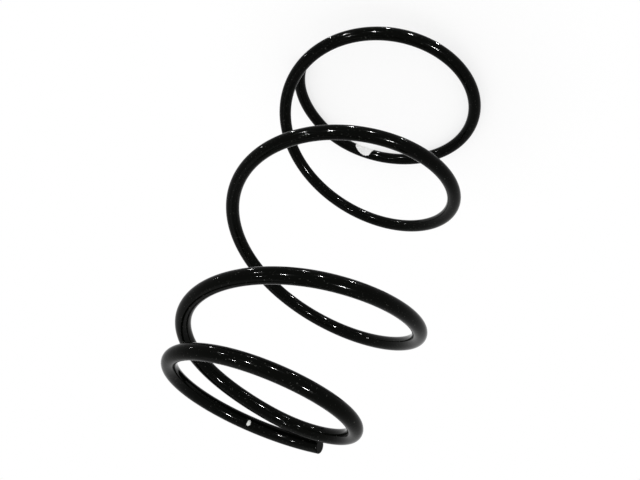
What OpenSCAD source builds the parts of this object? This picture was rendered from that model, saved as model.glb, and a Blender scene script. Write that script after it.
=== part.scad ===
// Helical compression spring, wound right-handed from one length of round wire.
// It stands on its lower end with its axis on Z. Neither end is ground, and both tips are cut square.
// The lower end lies flat for a third of a turn, and its tip swings out a little and stays clear.
// The upper end is closed: it lies flat for over half a turn, and its tip nests beside the next turn.
// Places along the wire are counted in turns, from 0 at the lower tip to turns at the upper tip.

/* [Wire] */
// Diameter of the wire
wire_d = 11.5; // [8:0.25:13]

/* [Body] */
// Height of the free spring, over the wire
free_height = 336; // [260:1:400]
// Mean diameter of the body turns
body_d = 180; // [165:1:200]
// Turns of the body that are wound at the full pitch
body_turns = 1.51; // [1:0.01:3]

/* [Lower end] */
// Turns that lie flat on the seat below
lower_flat_turns = 0.37; // [0.3:0.01:0.45]
// Turns over which the pitch grows from nothing to the full pitch
lower_rise_turns = 0.69; // [0.6:0.01:0.8]
// Mean diameter of the lower end turn
lower_d = 165.4; // [155:0.2:180]
// Amount by which the lower end turn is out of round, on the radius
lower_oval = 4; // [0:0.1:7.5]
// Place of its widest point, in turns from the lower tip
lower_widest = 0.09; // [0:0.01:0.25]
// Place where the lower end turn starts to open into the body
lower_flare_start = 0.04; // [0:0.01:0.2]
// Turns over which it opens
lower_flare_turns = 1.09; // [0.9:0.01:1.4]
// Mean diameter at the lower tip, which swings out from the end turn
lower_tip_d = 179; // [160:1:190]
// Turns over which it swings out
lower_tip_turns = 0.15; // [0.1:0.01:0.25]

/* [Upper end] */
// Turns that lie flat against the seat above
upper_flat_turns = 0.59; // [0.5:0.01:0.65]
// Turns over which the pitch falls from the full pitch to nothing
upper_rise_turns = 1.22; // [1.1:0.01:1.5]
// Mean diameter of the narrow turn below the upper tip
upper_d = 120; // [110:1:150]
// Amount by which the upper end turn is out of round, on the radius
upper_oval = 3.9; // [0:0.1:5]
// Place of its widest point, in turns from the upper tip
upper_widest = 0.39; // [0.3:0.01:0.5]
// Place where the narrow turn starts to open into the body, in turns from the upper tip
upper_flare_start = 1.1; // [1.05:0.01:1.2]
// Turns over which it opens
upper_flare_turns = 0.54; // [0.4:0.01:0.7]
// Clear gap between the upper tip and the turn it nests beside
upper_tip_gap = 4.2; // [0.5:0.1:6]

/* [Placing] */
// Bearing of the upper tip about the axis, in degrees
upper_tip_bearing = 132; // [0:1:359]

/* [Hidden] */
paint = "#161716";
wire_r = wire_d / 2;
turns = lower_flat_turns + lower_rise_turns + body_turns + upper_rise_turns + upper_flat_turns;
// A ramp of pitch lifts the wire by half of what full pitch would lift it
pitch = (free_height - wire_d) / (lower_rise_turns / 2 + body_turns + upper_rise_turns / 2);
lower_rise_start = lower_flat_turns;
upper_rise_start = lower_flat_turns + lower_rise_turns + body_turns;
// Arc that is swept past each tip and cut off square
cut_length = 1;
// Room round the wire for the cutter
cutter_room = 0.3;
wire_sides = 16;
rings_per_turn = 56;
// Half the step, in turns, over which the direction of the wire is taken
direction_step = 0.001;

// A smooth step from 0 to 1 over 0 to 1
function ease(x) = let (c = min(max(x, 0), 1)) c * c * (3 - 2 * c);
// The area under that step from 0 to x
function ease_area(x) = let (c = min(max(x, 0), 1)) pow(c, 3) - pow(c, 4) / 2 + max(x - 1, 0);
function mix(a, b, share) = a + (b - a) * share;

// Height of the wire's centre
function height(at) = wire_r
    + pitch * lower_rise_turns * ease_area((at - lower_rise_start) / lower_rise_turns)
    - pitch * upper_rise_turns * ease_area((at - upper_rise_start) / upper_rise_turns);

// The lower end turn, a little oval, opening into the body
function lower_share(at) = 1 - ease((at - lower_flare_start) / lower_flare_turns);
function lower_turn(at) = lower_d / 2 + lower_oval * cos(2 * 360 * (at - lower_widest));
function opened(at) = mix(body_d / 2, lower_turn(at), lower_share(at));
function lower_coil(at) = opened(at) + (lower_tip_d / 2 - opened(0)) * (1 - ease(at / lower_tip_turns));

// The upper end turn, narrow below the tip and a little oval. The tip lies outside the turn below it,
// as far sideways as leaves the gap between the two strands
upper_tip_lift = height(turns) - height(turns - 1);
upper_tip_r = upper_d / 2 + sqrt(max(pow(wire_d + upper_tip_gap, 2) - pow(upper_tip_lift, 2), 0));
function upper_share(at) = 1 - ease((turns - at - upper_flare_start) / upper_flare_turns);
function upper_turn(at) = mix(upper_tip_r, upper_d / 2, ease(turns - at))
    + upper_oval * cos(2 * 360 * (turns - at - upper_widest));

function radius(at) = mix(lower_coil(at), upper_turn(at), upper_share(at));
function bearing(at) = upper_tip_bearing + 360 * (at - turns);
function centre(at) = [radius(at) * cos(bearing(at)), radius(at) * sin(bearing(at)), height(at)];
function along(at) = let (step = centre(at + direction_step) - centre(at - direction_step)) step / norm(step);

// One ring of the wire's surface, square to the wire
function ring(at) = let (
        t = along(at),
        level = [t.y, -t.x, 0] / norm([t.x, t.y]),
        rise = cross(level, t))
    [for (i = [0 : wire_sides - 1])
        let (a = 360 * i / wire_sides)
        centre(at) + wire_r * (cos(a) * level + sin(a) * rise)];

// The wire, swept along the coil from one place to another as one closed skin
module swept_wire(from, to) {
    spans = ceil((to - from) * rings_per_turn);
    points = [for (k = [0 : spans]) each ring(mix(from, to, k / spans))];
    function corner(k, i) = k * wire_sides + i % wire_sides;
    skin = [for (k = [0 : spans - 1], i = [0 : wire_sides - 1])
        each [[corner(k, i), corner(k, i + 1), corner(k + 1, i)],
              [corner(k + 1, i), corner(k, i + 1), corner(k + 1, i + 1)]]];
    start_cap = [for (i = [wire_sides - 1 : -1 : 0]) corner(0, i)];
    end_cap = [for (i = [0 : wire_sides - 1]) corner(spans, i)];
    polyhedron(points, concat(skin, [start_cap, end_cap]));
}

// What is cut off past a tip. side is -1 at the lower tip and 1 at the upper tip
module tip_cutter(at, side) {
    t = along(at);
    translate(centre(at))
        rotate([0, side * 90, atan2(t.y, t.x)])
            cylinder(r = wire_r + cutter_room, h = 2 * cut_length);
}

module coil_spring() {
    lower_overrun = cut_length / (PI * 2 * radius(0));
    upper_overrun = cut_length / (PI * 2 * radius(turns));
    color(paint)
        difference() {
            swept_wire(-lower_overrun, turns + upper_overrun);
            tip_cutter(0, -1);
            tip_cutter(turns, 1);
        }
}

coil_spring();
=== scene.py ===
import bmesh
import bpy
import math
from mathutils import Matrix, Vector


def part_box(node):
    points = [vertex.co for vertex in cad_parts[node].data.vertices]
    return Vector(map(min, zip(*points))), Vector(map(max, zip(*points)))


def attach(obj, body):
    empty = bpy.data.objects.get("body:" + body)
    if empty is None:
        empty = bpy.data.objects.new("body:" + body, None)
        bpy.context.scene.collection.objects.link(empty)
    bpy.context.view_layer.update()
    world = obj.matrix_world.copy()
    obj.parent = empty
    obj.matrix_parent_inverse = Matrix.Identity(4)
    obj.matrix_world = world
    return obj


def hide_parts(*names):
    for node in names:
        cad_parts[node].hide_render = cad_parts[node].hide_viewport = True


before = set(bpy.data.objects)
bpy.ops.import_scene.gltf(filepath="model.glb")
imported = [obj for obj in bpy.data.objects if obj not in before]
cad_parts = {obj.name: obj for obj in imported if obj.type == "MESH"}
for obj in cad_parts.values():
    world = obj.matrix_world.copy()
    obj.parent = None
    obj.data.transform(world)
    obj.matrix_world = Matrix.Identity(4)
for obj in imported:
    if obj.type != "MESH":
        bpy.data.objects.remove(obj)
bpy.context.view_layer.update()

mm = 0.001
fullTurn = 2 * math.pi
scene = bpy.context.scene
print("frame loaded")

# The course of the wire. Places are counted in turns, up from the lower tip
coil = {
    "wireDiameter": 11.5 * mm,
    "bodyDiameter": 180 * mm,
    "bodyTurns": 1.51,
    "lowerFlatTurns": 0.37,
    "lowerRiseTurns": 0.69,
    "lowerDiameter": 165.4 * mm,
    "lowerOval": 4 * mm,
    "lowerWidest": 0.09,
    "lowerFlareStart": 0.04,
    "lowerFlareTurns": 1.09,
    "lowerTipDiameter": 179 * mm,
    "lowerTipTurns": 0.15,
    "upperFlatTurns": 0.59,
    "upperRiseTurns": 1.22,
    "upperDiameter": 120 * mm,
    "upperOval": 3.9 * mm,
    "upperWidest": 0.39,
    "upperFlareStart": 1.1,
    "upperFlareTurns": 0.54,
    "upperTipGap": 4.2 * mm,
    "upperTipBearing": math.radians(132),
    "ringsPerTurn": 150,
    "sides": 48,
    "directionStep": 0.001,  # turns over which the direction of the wire is taken, either way
    "tipRound": 0.9 * mm,
    "tipRoundSegments": 4,
}
springLow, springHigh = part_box("coil_spring")
freeHeight = springHigh[2] - springLow[2]
wireRadius = coil["wireDiameter"] / 2
# A ramp of pitch lifts the wire by half of what full pitch would lift it
risingTurns = coil["lowerRiseTurns"] / 2 + coil["bodyTurns"] + coil["upperRiseTurns"] / 2
pitch = (freeHeight - coil["wireDiameter"]) / risingTurns
upperRiseStart = coil["lowerFlatTurns"] + coil["lowerRiseTurns"] + coil["bodyTurns"]
turns = upperRiseStart + coil["upperRiseTurns"] + coil["upperFlatTurns"]


def smoothStep(x):
    c = min(max(x, 0), 1)
    return c * c * (3 - 2 * c)


def smoothStepArea(x):
    c = min(max(x, 0), 1)
    return c**3 - c**4 / 2 + max(x - 1, 0)


def mix(a, b, share):
    return a + (b - a) * share


def wireHeight(at):
    lower = coil["lowerRiseTurns"]
    upper = coil["upperRiseTurns"]
    climb = lower * smoothStepArea((at - coil["lowerFlatTurns"]) / lower)
    climb -= upper * smoothStepArea((at - upperRiseStart) / upper)
    return wireRadius + pitch * climb


def openedRadius(at):  # lower end turn, opening into the body
    oval = coil["lowerOval"] * math.cos(2 * fullTurn * (at - coil["lowerWidest"]))
    share = smoothStep((at - coil["lowerFlareStart"]) / coil["lowerFlareTurns"])
    return mix(coil["lowerDiameter"] / 2 + oval, coil["bodyDiameter"] / 2, share)


# The upper tip lies outside the turn below it, as far sideways as leaves the gap
upperTipLift = wireHeight(turns) - wireHeight(turns - 1)
upperTipStep = math.sqrt((coil["wireDiameter"] + coil["upperTipGap"]) ** 2 - upperTipLift**2)
upperTipRadius = coil["upperDiameter"] / 2 + upperTipStep


def coilRadius(at):
    swing = 1 - smoothStep(at / coil["lowerTipTurns"])
    lower = openedRadius(at) + (coil["lowerTipDiameter"] / 2 - openedRadius(0)) * swing
    left = turns - at  # turns left to the upper tip
    oval = coil["upperOval"] * math.cos(2 * fullTurn * (left - coil["upperWidest"]))
    upper = mix(upperTipRadius, coil["upperDiameter"] / 2, smoothStep(left)) + oval
    share = smoothStep((left - coil["upperFlareStart"]) / coil["upperFlareTurns"])
    return mix(upper, lower, share)


def wireCentre(at):
    bearing = coil["upperTipBearing"] + fullTurn * (at - turns)
    radius = coilRadius(at)
    return Vector((radius * math.cos(bearing), radius * math.sin(bearing), wireHeight(at)))


def wirePlace(at):  # a frame on the wire: X outwards and level, Z along the wire
    step = coil["directionStep"]
    along = (wireCentre(at + step) - wireCentre(at - step)).normalized()
    outward = Vector((along.y, -along.x, 0)).normalized()
    across = along.cross(outward)
    place = Matrix((outward, across, along)).transposed().to_4x4()
    place.translation = wireCentre(at)
    return place


def ringEdges(verts):
    inRing = set(verts)
    touching = dict.fromkeys(edge for vert in verts for edge in vert.link_edges)
    return [edge for edge in touching if inRing.issuperset(edge.verts)]


def buildWire():
    spans = math.ceil(turns * coil["ringsPerTurn"])
    places = [wirePlace(turns * k / spans) for k in range(spans + 1)]
    mesh = bmesh.new()
    ring = bmesh.ops.create_circle(
        mesh, cap_ends=True, radius=wireRadius, segments=coil["sides"], matrix=places[0])["verts"]
    tipEdges = ringEdges(ring)
    edges = list(tipEdges)
    for before, after in zip(places, places[1:]):
        grown = bmesh.ops.extrude_edge_only(mesh, edges=edges)["geom"]
        ring = [g for g in grown if isinstance(g, bmesh.types.BMVert)]
        bmesh.ops.transform(mesh, matrix=after @ before.inverted(), verts=ring)
        edges = ringEdges(ring)
    bmesh.ops.contextual_create(mesh, geom=edges)
    bmesh.ops.recalc_face_normals(mesh, faces=mesh.faces)
    bmesh.ops.bevel(
        mesh, geom=tipEdges + edges, offset=coil["tipRound"], offset_type="OFFSET",
        segments=coil["tipRoundSegments"], profile=0.5, affect="EDGES", material=-1)
    for face in mesh.faces:
        face.smooth = len(face.verts) == 4
    data = bpy.data.meshes.new("spring_wire")
    mesh.to_mesh(data)
    mesh.free()
    wire = bpy.data.objects.new("spring_wire", data)
    scene.collection.objects.link(wire)
    return wire


# A grain is a noise, by its scale per metre and its detail. A range is where its ramp runs
paint = {
    "colour": (0.0013, 0.0015, 0.0011, 1),
    # The pale specks are painted glints: colour scattered over the black that stands in for small
    # reflections of light speckling the gloss
    "glintSpeckColour": (0.036, 0.037, 0.033, 1),
    "glintSpeckGrain": (700, 2),
    "glintSpeckRange": (0.66, 0.72),
    "specularLevel": 0.028,  # low, since the studio is white all round
    "roughnessLow": 0.06,
    "roughnessHigh": 0.11,
    "roughnessGrain": (55, 4),
    "roughnessRange": (0.35, 0.7),
    "peelGrain": (420, 0),
    "peelHeight": 0.06 * mm,
    "peelCalm": 0.5,  # share of the peel left where the paint ran smooth
    "peelPatchGrain": (38, 2),
    "peelPatchRange": (0.45, 0.6),
    "swellGrain": (70, 2),
    "swellHeight": 0.05 * mm,
}
# What the white patch and the pale spot share. Lengths are in millimetres
marks = {
    "innerSide": (1, 9),  # they lie between these, inwards of the centre of the wire
    "edgeRange": (0, 0.3),
    "edgeGrain": (500, 2),
}
black = (0, 0, 0, 1)
white = (1, 1, 1, 1)
# A white patch on the inner side of the lower end turn, with one square end
whitePatch = {
    "place": 0.2588,  # turns from the lower tip
    "colour": (0.95, 0.95, 0.94, 1),
    "roughness": 0.5,
    "centre": (1.6, 0, -0.8),  # millimetres along the wire, inwards and up
    "halfLength": 12,
    "halfHeight": 6.5,
    "squareEnd": 9.2,  # millimetres along the wire
    "endSlant": 0.45,
    "raggedness": 0.9,
}
# A small pale spot on the inner side of the upper end turn
paleSpot = {
    "place": 4.2446,
    "colour": (0.80, 0.81, 0.78, 1),
    "roughness": 0.6,
    "centre": (-0.5, 0, 1.2),
    "halfLength": 1.6,
    "halfHeight": 2.4,
    "squareEnd": 9,
    "endSlant": 0,
    "raggedness": 1.2,
}


def addNode(tree, kind, **inputs):
    node = tree.nodes.new(kind)
    for name, value in inputs.items():
        node.inputs[name].default_value = value
    return node


def grey(level):
    return (level, level, level, 1)


def noise(tree, place, grain):
    scale, detail = grain
    node = addNode(tree, "ShaderNodeTexNoise", Scale=scale, Detail=detail, Roughness=0.55)
    tree.links.new(place, node.inputs["Vector"])
    return node.outputs["Fac"]


def ramp(tree, value, span, colours):
    node = tree.nodes.new("ShaderNodeValToRGB")
    for stop, position, colour in zip(node.color_ramp.elements, span, colours):
        stop.position = position
        stop.color = colour
    tree.links.new(value, node.inputs["Fac"])
    return node.outputs["Color"]


def bump(tree, height, distance, under=None):
    node = addNode(tree, "ShaderNodeBump", Strength=1, Distance=distance)
    tree.links.new(height, node.inputs["Height"])
    if under is not None:
        tree.links.new(under, node.inputs["Normal"])
    return node.outputs["Normal"]


def maths(tree, operation, first, second):
    node = tree.nodes.new("ShaderNodeMath")
    node.operation = operation
    for socket, value in zip(node.inputs, (first, second)):
        if isinstance(value, bpy.types.NodeSocket):
            tree.links.new(value, socket)
        else:
            socket.default_value = value
    return node.outputs["Value"]


def vectorMaths(tree, operation, first, second):
    node = tree.nodes.new("ShaderNodeVectorMath")
    node.operation = operation
    tree.links.new(first, node.inputs[0])
    node.inputs[1].default_value = second
    return node.outputs["Value" if operation in ("LENGTH", "DOT_PRODUCT") else "Vector"]


def mixed(tree, share, first, second):
    node = tree.nodes.new("ShaderNodeMix")
    node.data_type = "RGBA"
    tree.links.new(share, node.inputs[0])
    tree.links.new(first, node.inputs[6])  # its colour sockets come after those for numbers
    node.inputs[7].default_value = second
    return node.outputs[2]


def markShare(tree, place, mark):  # 1 on the mark and 0 off it
    ahead = wirePlace(mark["place"]).col[2]
    local = addNode(
        tree, "ShaderNodeMapping", Location=wireCentre(mark["place"]),
        Rotation=(0, 0, math.atan2(ahead.y, ahead.x)), Scale=(mm, mm, mm))
    local.vector_type = "TEXTURE"
    tree.links.new(place, local.inputs["Vector"])
    spot = local.outputs["Vector"]  # millimetres along the wire, inwards and up
    shrink = (1 / mark["halfLength"], 0, 1 / mark["halfHeight"])
    fromCentre = vectorMaths(tree, "SUBTRACT", spot, mark["centre"])
    fromCentre = vectorMaths(tree, "MULTIPLY", fromCentre, shrink)
    inOval = maths(tree, "SUBTRACT", 1, vectorMaths(tree, "LENGTH", fromCentre, (0, 0, 0)))
    inOval = maths(tree, "MULTIPLY", inOval, min(mark["halfLength"], mark["halfHeight"]))
    beforeEnd = vectorMaths(tree, "DOT_PRODUCT", spot, (-1, 0, -mark["endSlant"]))
    beforeEnd = maths(tree, "ADD", beforeEnd, mark["squareEnd"])
    inwards = vectorMaths(tree, "DOT_PRODUCT", spot, (0, 1, 0))
    near, far = marks["innerSide"]
    pastNear = maths(tree, "SUBTRACT", inwards, near)
    beforeFar = maths(tree, "SUBTRACT", far, inwards)
    edge = maths(tree, "MINIMUM", inOval, beforeEnd)
    edge = maths(tree, "MINIMUM", edge, maths(tree, "MINIMUM", pastNear, beforeFar))
    ragged = maths(tree, "SUBTRACT", noise(tree, place, marks["edgeGrain"]), 0.5)
    edge = maths(tree, "ADD", edge, maths(tree, "MULTIPLY", ragged, mark["raggedness"]))
    return ramp(tree, edge, marks["edgeRange"], (black, white))


def glossBlackPaint():
    material = bpy.data.materials.new("gloss_black_paint")
    material.use_nodes = True
    tree = material.node_tree
    shader = tree.nodes["Principled BSDF"]
    place = tree.nodes.new("ShaderNodeTexCoord").outputs["Object"]
    # Pale specks over the black paint: painted glints in place of small reflections of light
    glintSpecks = noise(tree, place, paint["glintSpeckGrain"])
    colour = ramp(tree, glintSpecks, paint["glintSpeckRange"], (paint["colour"], paint["glintSpeckColour"]))
    levels = (grey(paint["roughnessLow"]), grey(paint["roughnessHigh"]))
    roughness = noise(tree, place, paint["roughnessGrain"])
    roughness = ramp(tree, roughness, paint["roughnessRange"], levels)
    for mark in (whitePatch, paleSpot):
        share = markShare(tree, place, mark)
        colour = mixed(tree, share, colour, mark["colour"])
        roughness = mixed(tree, share, roughness, grey(mark["roughness"]))
    tree.links.new(colour, shader.inputs["Base Color"])
    tree.links.new(roughness, shader.inputs["Roughness"])
    swell = bump(tree, noise(tree, place, paint["swellGrain"]), paint["swellHeight"])
    patches = noise(tree, place, paint["peelPatchGrain"])
    patches = ramp(tree, patches, paint["peelPatchRange"], (grey(paint["peelCalm"]), white))
    peel = maths(tree, "MULTIPLY", noise(tree, place, paint["peelGrain"]), patches)
    tree.links.new(bump(tree, peel, paint["peelHeight"], swell), shader.inputs["Normal"])
    shader.inputs["Specular IOR Level"].default_value = paint["specularLevel"]
    return material


wire = buildWire()
wire.data.materials.append(glossBlackPaint())
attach(wire, "root")
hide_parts("coil_spring")
print("wire built,", len(wire.data.polygons), "faces")

studio = {
    "floorRadius": 0.24,
    "floorSides": 96,
    "floorColour": (0.97, 0.97, 0.97, 1),
    "floorGlow": 0.75,  # share of the floor that the camera sees as the plain white backdrop
    "worldStrength": 1.0,
    "aim": Vector((0, 0, 0.17)),
    "lampDistance": 2.4,
    "overheadPower": 3,
    "overheadSize": 1.2,
    "overheadOffset": Vector((0.3, 0.4, 1.6)),  # from the aim
}
# Compact lamps, seen in the gloss alone: degrees round to the right from the front, degrees up,
# width and height in metres, brightness
lamps = {
    "lampRight": (20, 22, 0.09, 0.09, 4000),
    "lampFront": (-4, -19, 0.09, 0.09, 4800),
    "lampFarRight": (47, 3, 0.085, 0.085, 3200),
    "lampStrip": (-42, 36, 0.225, 0.11, 2100),
    "lampLowRight": (26, -54, 0.085, 0.085, 2800),
    "lampLowLeft": (-34, -57, 0.085, 0.085, 2200),
    "lampSide": (78, -40, 0.085, 0.085, 800),
    "lampHighRight": (40, 44, 0.07, 0.07, 2000),
    "lampFarSide": (89, -9, 0.07, 0.07, 500),
}


def whiteWorld():
    world = bpy.data.worlds.new("white_studio")
    world.use_nodes = True
    background = world.node_tree.nodes["Background"]
    background.inputs["Color"].default_value = white
    background.inputs["Strength"].default_value = studio["worldStrength"]
    scene.world = world


def paleFloor():
    mesh = bmesh.new()
    bmesh.ops.create_circle(
        mesh, cap_ends=True, radius=studio["floorRadius"], segments=studio["floorSides"])
    data = bpy.data.meshes.new("floor")
    mesh.to_mesh(data)
    mesh.free()
    floor = bpy.data.objects.new("floor", data)
    scene.collection.objects.link(floor)
    material = bpy.data.materials.new("pale_floor")
    material.use_nodes = True
    tree = material.node_tree
    shader = tree.nodes["Principled BSDF"]
    shader.inputs["Base Color"].default_value = studio["floorColour"]
    shader.inputs["Roughness"].default_value = 1
    shader.inputs["Specular IOR Level"].default_value = 0
    rays = tree.nodes.new("ShaderNodeLightPath").outputs
    seen = maths(tree, "ADD", rays["Is Camera Ray"], rays["Is Glossy Ray"])
    seen = maths(tree, "ADD", seen, rays["Is Transmission Ray"])
    glow = addNode(tree, "ShaderNodeEmission", Color=white, Strength=1)
    both = tree.nodes.new("ShaderNodeMixShader")
    tree.links.new(maths(tree, "MULTIPLY", seen, studio["floorGlow"]), both.inputs[0])
    tree.links.new(shader.outputs["BSDF"], both.inputs[1])
    tree.links.new(glow.outputs["Emission"], both.inputs[2])
    tree.links.new(both.outputs["Shader"], tree.nodes["Material Output"].inputs["Surface"])
    data.materials.append(material)
    floor.visible_shadow = False  # the low lamps reach the wire through it
    floor.visible_glossy = False  # the wire mirrors the white beyond it, which is as bright


def addLamp(name, spot, power, width, height, glossOnly=False):
    light = bpy.data.lights.new(name, "AREA")
    light.shape = "ELLIPSE" if width == height else "RECTANGLE"
    light.size = width
    light.size_y = height
    light.energy = power
    lamp = bpy.data.objects.new(name, light)
    lamp.location = spot
    lamp.rotation_euler = (studio["aim"] - spot).to_track_quat("-Z", "Y").to_euler()
    lamp.visible_camera = False
    lamp.visible_diffuse = not glossOnly  # the compact lamps leave the level of the light alone
    scene.collection.objects.link(lamp)


def studioLamps():
    for name, (sideways, up, width, height, brightness) in lamps.items():
        turn = math.radians(sideways)
        lift = math.radians(up)
        level = math.cos(lift)
        way = Vector((math.sin(turn) * level, -math.cos(turn) * level, math.sin(lift)))
        spot = studio["aim"] + studio["lampDistance"] * way
        power = brightness * math.pi * width * height
        addLamp(name, spot, power, width, height, glossOnly=True)
    overhead = studio["aim"] + studio["overheadOffset"]
    size = studio["overheadSize"]
    addLamp("overhead", overhead, studio["overheadPower"], size, size)


# The photograph's camera: its place in metres, and its focal length in pixels of a 640 wide picture
camera = {
    "place": Vector((-3.85, -415.76, 456.71)) * mm,
    "right": Vector((-0.932724, -0.176605, -0.314382)),
    "down": Vector((-0.359794, 0.51372, 0.778871)),
    "forward": Vector((0.023952, 0.839584, -0.542701)),
    "focalPixels": 595.2,
    "picturePixels": 640,
    "sensorWidth": 36,
    "nearestSeen": 10 * mm,
}


def photoCamera():
    lens = bpy.data.cameras.new("camera")
    lens.sensor_fit = "HORIZONTAL"
    lens.sensor_width = camera["sensorWidth"]
    lens.lens = camera["focalPixels"] / camera["picturePixels"] * camera["sensorWidth"]
    lens.clip_start = camera["nearestSeen"]
    eye = bpy.data.objects.new("camera", lens)
    turned = Matrix((camera["right"], -camera["down"], -camera["forward"])).transposed().to_4x4()
    turned.translation = camera["place"]
    eye.matrix_world = turned
    scene.collection.objects.link(eye)
    scene.camera = eye


whiteWorld()
paleFloor()
studioLamps()
photoCamera()
scene.view_settings.view_transform = "Standard"
print("studio set")
